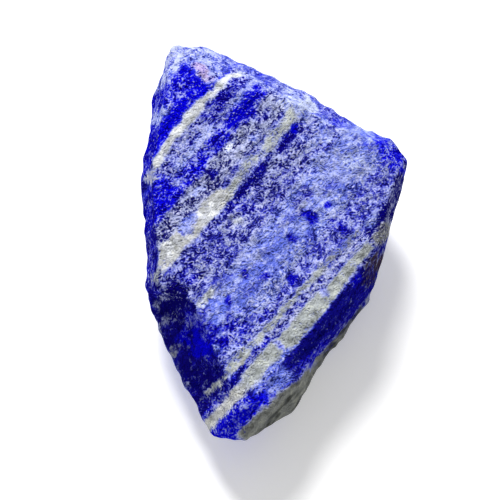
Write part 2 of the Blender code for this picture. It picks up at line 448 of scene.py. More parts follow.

# %% [markdown]
# The beds, as a geologist would log them: for each its tone, and stations along it that say where
# it starts and ends across. Later beds lie over earlier ones. Most run the whole length of the
# stone, and some pinch out. A few, on the step, the lower edge, the wedge and the east wall, are
# painted darker as painted shade.

# %% The beds
BEDS = [
    # white, blue, share, specks, softness of the edge, and stations: along, starts and ends across
    ("ice", "cobalt", 0.05, 0.10, 0.5, [(-14.0, -40.0, -27.5), (24.0, -40.0, -27.5)]),
    ("frost", "azure", 0.90, 0.04, 0.6, [(9.5, -42.0, -36.6), (24.0, -42.0, -35.4)]),
    ("ice", "cobalt", 0.30, 0.12, 0.8, [(5.0, -35.0, -31.6), (13.0, -36.2, -31.0)]),
    ("ice", "cobalt", 0.03, 0.0, 0.5, [(4.0, -30.6, -28.6), (15.0, -31.6, -28.6)]),
    ("ice", "azure", 0.60, 0.10, 0.6, [(16.0, -37.0, -28.6), (24.0, -37.0, -28.0)]),
    ("ice", "deep", 0.50, 0.24, 0.4, [(-3.0, -27.0, -24.2), (23.0, -27.0, -24.2)]),
    ("ice", "royal", 0.66, 0.10, 0.5, [(-1.5, -26.4, -25.3), (4.5, -26.4, -25.0)]),
    ("ice", "deep", 0.14, 0.40, 0.5, [(12.5, -26.6, -23.6), (19.5, -26.6, -23.6)]),
    ("ice", "azure", 0.62, 0.10, 0.4, [(-1.0, -24.2, -22.8), (9.5, -24.0, -22.7)]),
    ("ice", "azure", 0.55, 0.05, 0.4, [(15.5, -23.6, -22.5), (21.5, -23.4, -22.4)]),
    ("ice", "cobalt", 0.10, 0.16, 0.5, [(-14.0, -25.6, -19.4), (-3.4, -25.6, -19.4)]),
    ("ice", "cobalt", 0.25, 0.18, 0.5, [(-3.6, -22.6, -19.4), (22.0, -22.5, -19.4)]),
    ("ice", "ultramarine", 0.03, 0.04, 0.5, [(11.4, -22.3, -20.0), (21.0, -22.2, -19.8)]),
    ("ash", "slate", 0.56, 0.30, 0.5, [(-20.0, -19.4, -15.4), (25.0, -19.4, -15.0)]),
    ("ice", "ink", 0.10, 0.46, 0.5, [(-2.0, -12.0, -9.9), (24.0, -11.8, -10.0)]),
    ("ice", "royal", 0.28, 0.30, 0.5, [(-26.0, -12.2, -9.9), (-2.0, -12.0, -9.9)]),
    ("ash", "royal", 0.50, 0.26, 0.6, [(-27.0, -10.0, -5.7), (27.0, -10.0, -5.7)]),
    ("ice", "royal", 0.48, 0.18, 0.6, [(-29.0, -5.7, -3.8), (27.0, -5.7, -3.8)]),
    ("ice", "azure", 0.50, 0.06, 0.7, [(-31.0, -3.8, -0.4), (28.0, -3.8, -0.4)]),
    ("ice", "azure", 0.27, 0.04, 0.7, [(-33.0, -0.4, 3.4), (29.0, -0.4, 3.4)]),
    ("ice", "azure", 0.55, 0.03, 0.8, [(9.0, -1.6, 3.2), (29.0, -1.6, 3.2)]),
    ("ash", "azure", 0.40, 0.16, 0.7, [(-35.0, 3.2, 5.8), (29.0, 3.2, 5.8)]),
    ("ice", "royal", 0.37, 0.15, 0.7, [(-37.0, 5.6, 9.0), (29.0, 5.6, 11.0)]),
    ("ash", "royal", 0.50, 0.22, 0.5, [(-14.0, 9.9, 12.0), (13.0, 10.4, 12.8)]),
    ("ice", "ultramarine", 0.20, 0.25, 0.5, [(-36.0, 9.9, 11.4), (-14.0, 9.9, 11.4)]),
    ("ice", "cobalt", 0.11, 0.12, 0.4,
     [(-40.0, 13.4, 17.8), (-27.0, 13.8, 18.2), (-20.0, 14.8, 19.2), (-17.0, 15.4, 19.4)]),
    ("ice", "azure", 0.35, 0.08, 0.4, [(-24.0, 14.2, 15.2), (-11.0, 14.4, 15.4)]),
    ("ice", "azure", 0.34, 0.12, 0.6, [(-22.0, 15.4, 18.0), (-17.0, 15.6, 19.2), (-13.0, 18.2, 20.2)]),
    # the step under the broad vein: deep blue painted darker, as painted shade on a wall turned from
    # the lamp
    ("ice", "dusk", 0.03, 0.34, 0.3,
     [(-17.0, 15.5, 19.4), (-9.0, 15.5, 19.4), (-5.0, 15.5, 22.5), (14.0, 15.5, 22.5)]),
    ("ash", "deep", 0.16, 0.25, 0.4, [(-15.0, 18.4, 20.2), (-8.0, 18.4, 20.2)]),
    # grey calcite on the lower edge: partly its own grey, partly painted shade
    ("grey", "slate", 0.97, 0.03, 0.3,
     [(-32.0, 17.4, 20.4), (-27.0, 17.9, 20.6), (-20.0, 19.0, 21.0), (-16.0, 19.9, 21.4),
      (-11.5, 21.0, 22.0)]),
    # the wedge and the sliver beside it: calcite painted very dark, as painted shade on faces turned
    # from the lamp
    ("green grey", "slate", 0.995, 0.01, 0.3,
     [(-31.0, 20.2, 25.0), (-20.0, 20.6, 25.0), (-12.0, 21.4, 25.0)]),
    ("green grey", "navy", 0.75, 0.20, 0.3, [(-12.0, 20.0, 23.0), (2.0, 20.0, 23.0)]),
    # the east wall: calcite painted grey and blue painted navy, as painted shade
    ("grey", "slate", 0.85, 0.10, 0.4, [(12.4, 12.8, 15.8), (19.0, 12.8, 15.8)]),
    ("ice", "navy", 0.05, 0.30, 0.4, [(13.0, 11.2, 13.0), (19.5, 11.0, 13.0)]),
]
print(len(BEDS), "beds")

# %% [markdown]
# Veins are cracks that were filled with calcite. They are logged like the beds, but they are laid
# later, over the clouds in the beds, because the cracks came last and cut through everything.

# %% The veins
VEINS = [
    # columns as in the beds
    ("cream", "azure", 0.97, 0.01, 0.30,
     [(-10.5, -24.6, -24.0), (-7.6, -25.6, -24.9), (-3.8, -27.3, -26.2), (0.0, -28.1, -26.6),
      (3.8, -28.8, -26.9), (11.4, -28.7, -26.8), (15.2, -28.2, -26.9), (19.0, -27.7, -26.7),
      (20.6, -26.5, -25.6), (22.0, -25.6, -24.8)]),
    ("bone", "azure", 0.90, 0.03, 0.45,
     [(-18.0, -14.6, -13.0), (-16.0, -16.0, -12.7), (-13.3, -16.6, -12.5), (-7.6, -15.4, -12.4),
      (-2.0, -15.6, -12.0), (1.0, -15.2, -12.0), (3.0, -14.3, -12.0)]),
    ("sand", "azure", 0.78, 0.10, 0.6,
     [(2.0, -13.8, -12.2), (6.0, -14.2, -12.7), (9.0, -14.9, -12.9), (12.0, -13.6, -12.0),
      (15.2, -14.6, -11.7), (18.0, -14.1, -12.2), (21.0, -15.1, -11.3), (25.0, -14.2, -10.2)]),
    ("chalk", "azure", 0.82, 0.06, 0.35,
     [(-24.5, 7.6, 9.6), (-21.9, 7.4, 9.9), (-19.0, 7.8, 9.9), (-13.0, 8.7, 9.9), (-3.8, 8.8, 10.1),
      (3.0, 9.0, 10.4)]),
    ("grey", "azure", 0.65, 0.05, 0.4,
     [(2.0, 9.0, 10.4), (7.6, 9.4, 10.7), (12.5, 10.2, 11.2)]),
    ("bone", "slate", 0.92, 0.04, 0.3,
     [(-38.0, 11.5, 13.5), (-29.0, 11.6, 13.6), (-24.6, 11.5, 14.1)]),
    ("chalk", "azure", 0.94, 0.02, 0.35,
     [(-23.8, 11.3, 14.1), (-19.0, 11.1, 14.2), (-14.4, 11.5, 14.6), (-13.6, 11.7, 14.8),
      (-11.4, 11.9, 15.4), (-4.0, 11.8, 15.5), (-1.2, 12.3, 15.5), (0.0, 12.6, 15.3), (6.6, 12.7, 14.9),
      (12.0, 13.0, 14.8)]),
]
print(len(VEINS), "veins")

# %% [markdown]
# Spots are the smallest things worth placing: a stain, a knot of pure blue, a patch of chalk,
# and one painted shadow under a ledge.
# Each is an oval in the beds' own directions. Anything smaller is left to noise.

# %% The spots
SPOTS = [
    # white, blue, share, specks, then the spot's middle across and along, and its two half widths
    ("pink", "royal", 0.82, 0.22, (-31.4, 16.6), (2.2, 1.3)),
    ("ice", "ink", 0.10, 0.50, (-17.4, 2.8), (1.3, 1.2)),
    ("ice", "ink", 0.20, 0.40, (-17.6, 17.0), (1.1, 2.0)),
    ("ice", "azure", 0.85, 0.05, (-17.8, -1.0), (0.8, 1.4)),
    ("snow", "azure", 0.80, 0.05, (-18.5, 9.5), (0.5, 1.8)),
    ("ice", "deep", 0.35, 0.20, (-14.6, -9.5), (0.6, 0.7)),
    ("ice", "royal", 0.45, 0.20, (-14.6, 2.4), (0.6, 0.6)),
    ("grey", "navy", 0.50, 0.30, (-12.4, 14.2), (0.5, 0.7)),
    ("cream", "azure", 0.97, 0.00, (-13.7, -2.4), (1.5, 3.0)),
    ("cream", "azure", 0.97, 0.00, (-14.8, -13.0), (1.5, 2.4)),
    ("ice", "cobalt", 0.03, 0.10, (-11.4, 19.6), (0.9, 1.0)),
    ("snow", "azure", 0.92, 0.00, (-8.2, -0.8), (0.5, 1.6)),
    ("snow", "navy", 0.65, 0.20, (-6.6, -13.7), (0.4, 0.4)),
    ("snow", "azure", 0.98, 0.00, (-3.4, -16.2), (0.9, 2.1)),
    ("ice", "azure", 0.16, 0.04, (-0.4, -17.2), (2.6, 2.0)),
    ("ice", "azure", 0.90, 0.00, (-2.4, 4.8), (0.4, 2.0)),
    ("ice", "deep", 0.16, 0.10, (-0.7, -7.6), (0.9, 0.9)),
    ("ice", "deep", 0.16, 0.10, (0.1, -13.9), (0.8, 0.8)),
    ("ice", "deep", 0.16, 0.10, (2.4, -5.7), (0.7, 0.8)),
    ("ice", "deep", 0.16, 0.10, (1.9, 2.9), (1.0, 0.9)),
    ("ice", "deep", 0.12, 0.20, (1.6, 8.9), (1.9, 1.4)),
    ("ice", "cobalt", 0.10, 0.05, (2.9, 12.3), (0.6, 0.8)),
    ("ice", "deep", 0.08, 0.10, (7.0, -2.9), (0.9, 0.8)),
    ("ice", "deep", 0.08, 0.10, (7.2, -10.5), (0.7, 1.0)),
    ("ice", "deep", 0.08, 0.10, (7.2, -13.3), (0.6, 0.8)),
    ("ice", "deep", 0.08, 0.20, (7.4, 10.3), (1.8, 0.9)),
    ("ice", "ultramarine", 0.05, 0.10, (16.5, 5.2), (0.5, 1.4)),
    ("ice", "royal", 0.45, 0.10, (12.9, -14.2), (1.0, 0.8)),
    ("ice", "royal", 0.50, 0.10, (12.7, -1.0), (0.9, 0.9)),
    ("brown", "navy", 0.88, 0.25, (17.2, 9.8), (1.8, 2.2)),
    ("brown", "navy", 0.50, 0.30, (17.8, 6.8), (1.2, 1.8)),
    ("ice", "royal", 0.28, 0.25, (-8.9, -8.3), (1.8, 3.0)),
    ("ash", "azure", 0.58, 0.10, (5.1, -7.3), (1.6, 3.0)),
    ("chalk", "slate", 0.75, 0.12, (-13.2, -18.9), (1.0, 1.3)),
    ("ice", "cobalt", 0.13, 0.08, (5.0, 27.0), (6.0, 2.0)),
    # a painted shadow: the black shade below the ledge of the main face, over the chip
    ("ice", "navy", 0.06, 0.60, (-8.7, -19.5), (2.5, 2.4)),
    ("ice", "navy", 0.04, 0.55, (6.6, -28.0), (2.2, 2.6)),
    ("ice", "ultramarine", 0.03, 0.14, (1.6, -23.8), (2.8, 2.3)),
    ("ice", "ultramarine", 0.04, 0.14, (-0.8, -21.4), (1.4, 1.2)),
    ("sand", "slate", 0.55, 0.20, (8.8, -27.4), (0.7, 3.2)),
    ("frost", "azure", 0.72, 0.05, (-14.2, 23.6), (2.8, 1.5)),
    ("ice", "royal", 0.26, 0.12, (-8.0, 26.2), (2.2, 1.4)),
    ("frost", "azure", 0.42, 0.05, (-0.8, 27.2), (2.8, 1.4)),
    ("ice", "azure", 0.50, 0.06, (-7.0, 21.4), (2.4, 2.4)),
    ("ice", "royal", 0.20, 0.12, (8.4, 14.6), (1.8, 2.4)),
    ("ice", "azure", 0.62, 0.08, (-14.9, -7.6), (1.2, 2.2)),
    ("grey", "slate", 0.97, 0.01, (21.6, -16.2), (1.6, 2.4)),
    ("ice", "ultramarine", 0.24, 0.18, (4.4, -17.2), (2.6, 3.2)),
    ("ice", "deep", 0.12, 0.28, (1.0, -20.6), (4.6, 1.5)),
    ("frost", "azure", 0.52, 0.06, (-32.4, 4.8), (1.2, 1.8)),
    ("ice", "sky", 0.22, 0.08, (-29.6, 19.8), (1.8, 1.6)),
    ("frost", "azure", 0.88, 0.03, (-12.2, 24.8), (1.8, 1.3)),
    ("bone", "azure", 0.62, 0.10, (-26.2, -4.8), (0.9, 1.8)),
    ("ash", "azure", 0.56, 0.14, (11.0, 15.2), (1.2, 1.6)),
    ("frost", "azure", 0.62, 0.04, (0.8, 21.8), (2.0, 2.0)),
    ("ice", "royal", 0.56, 0.14, (-11.3, -11.0), (1.2, 1.8)),
    ("ice", "deep", 0.20, 0.28, (-8.6, -14.8), (1.5, 1.8)),
    ("ice", "royal", 0.20, 0.18, (-5.2, -5.9), (1.2, 1.8)),
    ("ice", "deep", 0.20, 0.28, (-25.5, 11.6), (1.4, 2.1)),
    ("sand", "slate", 0.38, 0.30, (-1.6, -27.6), (0.9, 1.2)),
    ("ash", "slate", 0.34, 0.30, (-6.6, -24.4), (0.6, 1.7)),
    ("ash", "slate", 0.36, 0.30, (-10.0, -22.2), (0.8, 1.6)),
    ("ash", "ink", 0.16, 0.30, (-3.0, -21.8), (0.7, 1.2)),
    ("ice", "royal", 0.18, 0.14, (-2.3, -18.9), (1.1, 1.4)),
    ("ice", "deep", 0.22, 0.26, (-9.0, 2.2), (1.3, 2.0)),
    ("ash", "azure", 0.62, 0.10, (-11.0, 22.3), (0.9, 1.2)),
    ("ice", "cobalt", 0.10, 0.18, (-20.4, 2.4), (1.1, 2.2)),
    ("ice", "royal", 0.22, 0.15, (6.2, -13.6), (1.3, 2.0)),
    ("ice", "navy", 0.30, 0.30, (-9.9, 11.8), (1.0, 1.8)),
    ("ice", "ultramarine", 0.10, 0.14, (-19.3, 15.6), (0.8, 2.0)),
    ("ash", "azure", 0.70, 0.10, (-16.0, 13.1), (1.0, 1.4)),
    ("grey", "navy", 0.45, 0.35, (13.4, 15.4), (0.9, 1.0)),
    ("frost", "azure", 0.75, 0.05, (-15.6, 21.4), (1.2, 1.2)),
    ("ice", "ultramarine", 0.10, 0.10, (-2.2, -24.4), (1.0, 1.4)),
    ("ice", "cobalt", 0.14, 0.10, (-34.5, 11.0), (1.1, 2.2)),
    ("ash", "royal", 0.40, 0.18, (-1.8, 10.2), (1.6, 2.4)),
    ("bone", "azure", 0.85, 0.04, (9.5, -22.2), (0.7, 1.6)),
    ("ice", "azure", 0.74, 0.05, (-3.8, 17.4), (1.3, 1.8)),
    ("ice", "azure", 0.72, 0.05, (-3.0, -8.4), (1.0, 1.8)),
]
print(len(SPOTS), "spots")

# %% [markdown]
# Laying a tone means blending it over what is there, by a weight from 0 to 1 for every point, as a
# brush does. The same brush lays beds, clouds, veins, faces and spots. The clouds drift through
# the milky beds in the middle of the stone: some of deeper blue, some of paler.

# %% Lay the beds, the clouds and the veins
count = len(place)
tones = {
    "white": np.tile(np.array(WHITES["ice"]), (count, 1)),
    "blue": np.tile(np.array(BLUES["royal"]), (count, 1)),
    "share": np.full(count, 0.35),
    "specks": np.full(count, 0.20),
}


def lay(weight, white_name, blue_name, new_share, new_specks):
    """Blend the tone of every point towards a new one by a weight from 0 to 1."""
    tones["white"] += weight[:, None] * (np.array(WHITES[white_name]) - tones["white"])
    tones["blue"] += weight[:, None] * (np.array(BLUES[blue_name]) - tones["blue"])
    tones["share"] += weight * (new_share - tones["share"])
    tones["specks"] += weight * (new_specks - tones["specks"])


def inside_bed(stations, edge):
    """1 inside a bed and 0 outside. Its two borders run straight from station to station, and fade
    over edge to each side; its two ends fade over twice that."""
    stops = np.array(stations)
    start = np.interp(along_bed, stops[:, 0], stops[:, 1])
    end = np.interp(along_bed, stops[:, 0], stops[:, 2])
    within = smooth_step(across_bed - start, -edge, edge) * smooth_step(end - across_bed, -edge, edge)
    after_first = smooth_step(along_bed - stops[0, 0], -2 * edge, 2 * edge)
    before_last = smooth_step(stops[-1, 0] - along_bed, -2 * edge, 2 * edge)
    return within * after_first * before_last


for *tone, edge, stations in BEDS:
    lay(inside_bed(stations, edge), *tone)

milky_beds = smooth_step(across_bed, -10, -5) * smooth_step(10 - across_bed, 0, 2)
deep_clouds = smooth_step(rough_hills(bedded, size=3.0, octaves=3, seed=111), 0.15, 0.65)
pale_clouds = smooth_step(rough_hills(bedded, size=3.4, octaves=3, seed=121), 0.20, 0.75)
lay(0.60 * milky_beds * deep_clouds, "ice", "royal", 0.14, 0.12)
lay(0.50 * milky_beds * pale_clouds, "ice", "azure", 0.85, 0.02)

for *tone, edge, stations in VEINS:
    lay(inside_bed(stations, edge), *tone)
print("white share after the veins", tones["share"].mean().round(2))

# %% [markdown]
# Some faces differ from the beds that they cut. The upper bevel is an old, weathered break with a
# milky skin, and a frosty line along its crest. The walls to the left and right and beside the
# chip get little of the lamp, and are painted darker as painted shade: wholly on the right wall,
# partly on the others, which also show deeper blue. The low face at the tip gets little lamp too:
# it shows the deepest blue, painted darker still as painted shade, and the wedge beside it is
# patchy grey. A face is found by the way its broad surface points and by its place in the beds,
# so it needs no painting by hand, and its colour ends at its edge.

# %% Faces that point a certain way
# heading and lean in degrees, then the angles off them where the face is full and where it ends;
# further down, smooth_step takes the millimetres across or along the beds where a face fades in
BEVEL_FACE = (64, 53, 14, 26)
CHIP_FACE = (-109, -9, 25, 45)
RIGHT_FACE = (-20, 2, 25, 45)
LEFT_FACE = (180, 5, 30, 52)
TIP_FACE = (-153, 28, 16, 30)
# the bevel's edge is a line nearly square to the beds, this many millimetres along them
BEVEL_EDGE = (0.99, -0.12)
BEVEL_START = 24.2


def facing(heading, lean, full, end):
    """1 where the broad surface points within the full angle of a direction, 0 past the end angle."""
    turn, rise = math.radians(heading), math.radians(lean)
    flat = math.cos(rise)
    aim = np.array([math.cos(turn) * flat, math.sin(turn) * flat, math.sin(rise)])
    return smooth_step(broad_normals @ aim, math.cos(math.radians(end)), math.cos(math.radians(full)))


past_edge = BEVEL_EDGE[0] * along_bed + BEVEL_EDGE[1] * across_bed - BEVEL_START
bevel = facing(*BEVEL_FACE) * smooth_step(past_edge, -0.6, 0.6)
crest = 4 * bevel * (1 - bevel)
chip_wall = facing(*CHIP_FACE) * smooth_step(-4 - across_bed, 0, 2)
right_wall = facing(*RIGHT_FACE) * smooth_step(along_bed, 16.5, 18.0)
left_wall = facing(*LEFT_FACE) * smooth_step(-8 - across_bed, 0, 2)
tip_face = facing(*TIP_FACE) * smooth_step(10.5 - across_bed, 0, 1)
wedge = smooth_step(across_bed, 19.6, 20.4)
dusk = smooth_step(rough_hills(place, size=5.0, octaves=3, seed=131), -0.35, 0.35)

lay(0.75 * bevel, "ice", "sky", 0.15, 0.13)
lay(0.75 * bevel * deep_clouds, "ice", "cobalt", 0.12, 0.15)
lay(0.52 * bevel * pale_clouds, "ice", "azure", 0.80, 0.02)
lay(0.65 * crest, "frost", "azure", 0.80, 0.05)
# painted shade on the walls turned from the lamp: wholly on the right wall; on the chip and left walls
# partly, with deeper blue
lay(0.85 * chip_wall, "ice", "deep", 0.14, 0.35)
lay(0.85 * right_wall, "ash", "navy", 0.14, 0.40)
lay(0.85 * left_wall, "ice", "deep", 0.05, 0.20)
# the tip face: its deepest blue, painted darker in patches as painted shade
lay(tip_face, "ash", "dusk", 0.05, 0.50)
lay(0.9 * tip_face * dusk, "ash", "navy", 0.08, 0.60)
# paler patches on the wedge's grey, which the beds paint dark as painted shade
lay(0.75 * wedge * dusk, "grey", "slate", 0.97, 0.02)
print("bevel points", np.sum(bevel > 0.5), "tip face points", np.sum(tip_face > 0.5))

# %% [markdown]
# The spots go on next, with a border that noise makes ragged, and only on the side that was seen.
# Last comes the pale crust round the corner of the broad end. Thin blue lines run through it:
# they are the low places of a wave across the beds, bent by noise.

# %% Spots, and the pale crust with its thin blue lines
LINE_WAVE = 2.3
LINE_BEND = 0.6
near_side = 1 - far_side
ragged = 1.4 * rough_hills(place, size=1.6, octaves=2, seed=101)
for *tone, middle, halves in SPOTS:
    far = ((across_bed - middle[0]) / halves[0]) ** 2 + ((along_bed - middle[1]) / halves[1]) ** 2
    in_spot = 1 - smooth_step(far + ragged, 0.4, 1.6)
    lay(near_side * in_spot, *tone)

crust_left = smooth_step(-35.4 - across_bed, -0.5, 0.5) * smooth_step(along_bed, 7.0, 10.0)
crust_top = smooth_step(-33.2 - across_bed, -0.8, 0.8) * smooth_step(along_bed, 17.4, 18.6)
crust = np.maximum(crust_left, crust_top)
bent = across_bed + LINE_BEND * hills(place, size=2.0, seed=141)
blue_lines = smooth_step(np.abs(np.sin(LINE_WAVE * bent)), 0.75, 0.25)
lay(0.9 * crust, "frost", "azure", 0.80, 0.01)
lay(0.8 * crust * blue_lines, "ice", "royal", 0.26, 0.08)
print("crust points", np.sum(crust > 0.5))

# %% [markdown]
# Not all of the rock is equally mottled. The veins, the azure beds, the bevel, the tip face, the
# step at the right edge and the wedge are calmer, so the noise of the grains is turned down there.

# %% Some faces and beds are calmer in tone than others
LEAST_LIVELY = 0.35
azure_bed = smooth_step(across_bed, -4.5, -2.0) * smooth_step(4.5 - across_bed, 0.0, 2.0)
step_bed = smooth_step(across_bed, 15.0, 16.0)
vein = np.zeros(count)
for *_, edge, stations in VEINS:
    vein = np.maximum(vein, inside_bed(stations, edge))
CALMER = (
    (bevel, 0.25),
    (tip_face, 0.15),
    (step_bed, 0.20),
    (azure_bed, 0.25),
    (vein, 0.35),
    (wedge, 0.25),
)
lively = np.ones(count)
for part, loss in CALMER:
    lively = lively - loss * part
lively = np.clip(lively, LEAST_LIVELY, 1)
print("lively from", lively.min().round(2), "to", lively.max().round(2))

# %% [markdown]
# A share of grains becomes a line: the grains whose random number lies above it are white. Random
# sums pile up around their middle like heights of people, so the line for a share is read from
# the bell curve, by a short formula that is close to it. The lines also rise and fall in soft
# patches, so that white grains and dark specks keep apart. Glints are painted highlights, the
# pale light off the edges of crystals: they are most frequent where white and blue are evenly
# mixed, paler where there is more white, and rare on the tip face and the step, which are painted
# in shade.

# %% Shares as lines on the bell curve
BELL_SCALE = 4.91
BELL_POWER = 0.14
SMALLEST_SHARE = 0.003
# the palest painted glint: a highlight off a crystal edge, laid into the colour
PALEST_PAINTED_GLINT = np.array([0.70, 0.71, 0.98])


def bell_line(portion):
    """How many spreads above the middle a random number lies in that portion of cases: the
    difference of small powers of the two portions, which follows the bell curve closely."""
    safe = np.clip(portion, SMALLEST_SHARE, 1 - SMALLEST_SHARE)
    return BELL_SCALE * ((1 - safe) ** BELL_POWER - safe ** BELL_POWER)


share = tones["share"]
mottle = 0.38 * rough_hills(bedded, size=2.4, octaves=2, seed=91)
mottle += 0.25 * hills(place, size=1.2, seed=95)
# how many painted glints, highlights on crystal edges, show: fewer on the tip face and the step
glints = (0.05 + 0.55 * share * (1 - share)) * (1 - 0.75 * tip_face) * (1 - 0.6 * step_bed)
white_line = bell_line(share) - mottle
# the dark specks' line: the rock's own dark specks and the painted shade of its pits
speck_and_pit_shade_line = bell_line(tones["specks"]) + 0.8 * mottle
painted_glint_line = bell_line(glints) - 0.5 * mottle
# colour of a painted glint: the blue, lifted towards the palest highlight
glint = tones["blue"] + (0.42 + 0.48 * share)[:, None] * (PALEST_PAINTED_GLINT - tones["blue"])
print("white grains", share.mean().round(2), "dark specks", tones["specks"].mean().round(2))

# %% [markdown]
# The points and quads become a mesh in one go, with foreach_set through the attributes. Three
# colours and four numbers become attributes of its points, which the material reads.

# %% The stone's mesh
COLOURS = {"white_stone": tones["white"], "blue_stone": tones["blue"], "painted_glint_colour": glint}
NUMBERS = {"white_line": white_line, "speck_and_pit_shade_line": speck_and_pit_shade_line, "painted_glint_line": painted_glint_line, "lively": lively}
mesh = bpy.data.meshes.new("rough_stone")
mesh.vertices.add(count)
mesh.vertices.foreach_set("co", (fine_skin * MM).ravel())
mesh.loops.add(quads.size)
mesh.loops.foreach_set("vertex_index", quads.ravel().astype(np.int32))
mesh.polygons.add(len(quads))
mesh.polygons.foreach_set("loop_start", np.arange(0, quads.size, 4, dtype=np.int32))
mesh.update(calc_edges=True)
mesh.validate()
mesh.shade_smooth()
for name, values in COLOURS.items():
    layer = mesh.attributes.new(name, "FLOAT_COLOR", "POINT")
    opaque = np.column_stack([values, np.ones(count)])
    layer.data.foreach_set("color", opaque.ravel().astype(np.float32))
for name, values in NUMBERS.items():
    layer = mesh.attributes.new(name, "FLOAT", "POINT")
    layer.data.foreach_set("value", values.astype(np.float32))
stone = bpy.data.objects.new("rough_stone", mesh)
bpy.context.scene.collection.objects.link(stone)
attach(stone, "root")
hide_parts("lapis_stone")
print(stone.name, len(mesh.polygons), "quads")

# %% [markdown]
# A material is a graph of nodes. Written by hand it is long, so two helpers keep it short: Wire
# lets sockets be added and multiplied as in a formula, and Recipe adds any other node by its type,
# its settings and its sockets.

# %% Sockets as formulas
class Wire:
    """A socket that can stand in a formula; each sign adds one Math node."""

    def __init__(self, recipe, socket):
        self.recipe = recipe
        self.socket = socket

    def math(self, operation, first, second):
        """One Math node on two sockets or numbers."""
        return self.recipe.node("ShaderNodeMath", {"operation": operation}, {0: first, 1: second})

    def __add__(self, other):
        return self.math("ADD", self, other)

    def __sub__(self, other):
        return self.math("SUBTRACT", self, other)

    def __mul__(self, other):
        return self.math("MULTIPLY", self, other)

    def __radd__(self, other):
        return self.math("ADD", other, self)

    def __rsub__(self, other):
        return self.math("SUBTRACT", other, self)

    def __rmul__(self, other):
        return self.math("MULTIPLY", other, self)


class Recipe:
    """The node graph of one material."""

    def __init__(self, name):
        self.material = bpy.data.materials.new(name)
        self.material.use_nodes = True
        self.tree = self.material.node_tree
        self.tree.nodes.clear()

    def node(self, kind, settings=None, sockets=None, output=0):
        """Add a node: first its settings, then a value or a link for each named socket. Gives back
        one of its outputs; the Material Output node at the end of the graph has none."""
        made = self.tree.nodes.new(kind)
        for name, value in (settings or {}).items():
            setattr(made, name, value)
        for name, value in (sockets or {}).items():
            if isinstance(value, Wire):
                self.tree.links.new(value.socket, made.inputs[name])
            else:
                made.inputs[name].default_value = value
        return Wire(self, made.outputs[output]) if made.outputs else None

    def step(self, value, low, high):
        """0 below low and 1 above high, smooth between them."""
        sockets = {"Value": value, "From Min": low, "From Max": high}
        return self.node("ShaderNodeMapRange", {"interpolation_type": "SMOOTHSTEP"}, sockets)

    def mix(self, factor, first, second, blend="MIX"):
        """Blend two colours."""
        settings = {"data_type": "RGBA", "blend_type": blend, "clamp_factor": True}
        return self.node("ShaderNodeMix", settings, {0: factor, 6: first, 7: second}, 2)

    def vector(self, operation, first, second=None, **named):
        """One Vector Math node on one or two vectors; its Scale is named."""
        sockets = {0: first}
        if second is not None:
            sockets[1] = second
        sockets.update(named)
        output = "Value" if operation == "DOT_PRODUCT" else "Vector"
        return self.node("ShaderNodeVectorMath", {"operation": operation}, sockets, output)


print("a Wire stands in a formula, a Recipe adds the nodes")

# %% [markdown]
# The finest detail is smaller than the mesh's cells, so the material makes it. It works in the
# stone's own millimetres, once straight and once turned along the beds and stretched a little, so
# the grains lie in the beds on every side. The other inputs are the mesh's attributes.

# %% What the lapis material reads
BED_STRETCH = 0.7
lapis = Recipe("rough_lapis")
straight = lapis.vector("SCALE", lapis.node("ShaderNodeTexCoord", output="Object"), Scale=1 / MM)
turned = [lapis.vector("DOT_PRODUCT", straight, tuple(axis)) for axis in (ACROSS, ALONG, to_eye)]
stretched = {0: turned[0], 1: turned[1] * BED_STRETCH, 2: turned[2] * BED_STRETCH}
in_beds = lapis.node("ShaderNodeCombineXYZ", {}, stretched)


def attribute(name, output="Fac"):
    """One of the mesh's own attributes: Fac gives a number, Color a colour."""
    return lapis.node("ShaderNodeAttribute", {"attribute_name": name}, output=output)


print("the material reads", ", ".join([*COLOURS, *NUMBERS]))

# %% [markdown]
# The broken face is a tangle of crystals that grew into each other: soft clouds, thin curly
# threads, crystals between them, and fine specks. Blotches of stain lie over them all. Each is one
# Noise node, and its Distortion curls the threads and the crystals. Every wave is scaled to a
# spread of 1, because that is what the lines on the bell curve are measured in.

# %% Waves of noise, from clouds to specks
# the noise node gives about 0.5, with a spread near 0.125
NOISE_MIDDLE = 0.5
NOISE_SPREAD = 0.125
# a bell curve folded over at its middle has its mean at 0.80 and a spread of 0.60
CREST_MIDDLE = 0.80
CREST_SPREAD = 0.60


def noise(where, size, swirl=0.0):
    """Noise with features of one size in mm, scaled to a spread of 1 about 0. Swirl curls it up."""
    sockets = {"Vector": where, "Scale": 1 / size, "Detail": 0.0, "Distortion": swirl}
    return (lapis.node("ShaderNodeTexNoise", {}, sockets) - NOISE_MIDDLE) * (1 / NOISE_SPREAD)


def crests(where, size, swirl):
    """Thin crests where the noise passes through its middle, scaled to a spread of 1 about 0."""
    away = lapis.node("ShaderNodeMath", {"operation": "ABSOLUTE"}, {0: noise(where, size, swirl)})
    return (CREST_MIDDLE - away) * (1 / CREST_SPREAD)


clouds = noise(in_beds, size=1.6)
threads = crests(in_beds, size=1.05, swirl=1.8)
crystals = noise(in_beds, size=0.75, swirl=1.2)
fine = noise(straight, size=0.36)
blotches = noise(straight, size=1.7)
print("noise so far:", len(lapis.tree.nodes), "nodes")

# %% [markdown]
# Which mineral shows is decided by a sum of the waves, held against the point's own lines: past
# the white line it is calcite. A sum with its sign turned round gives painted shade in the pits
# between the crystals, where the bump below is low, and a third gives painted highlights, glints
# on their edges, where it is high. The steps are wide, so most places are a milky mixture and only
# a few are pure, as in the real rock.

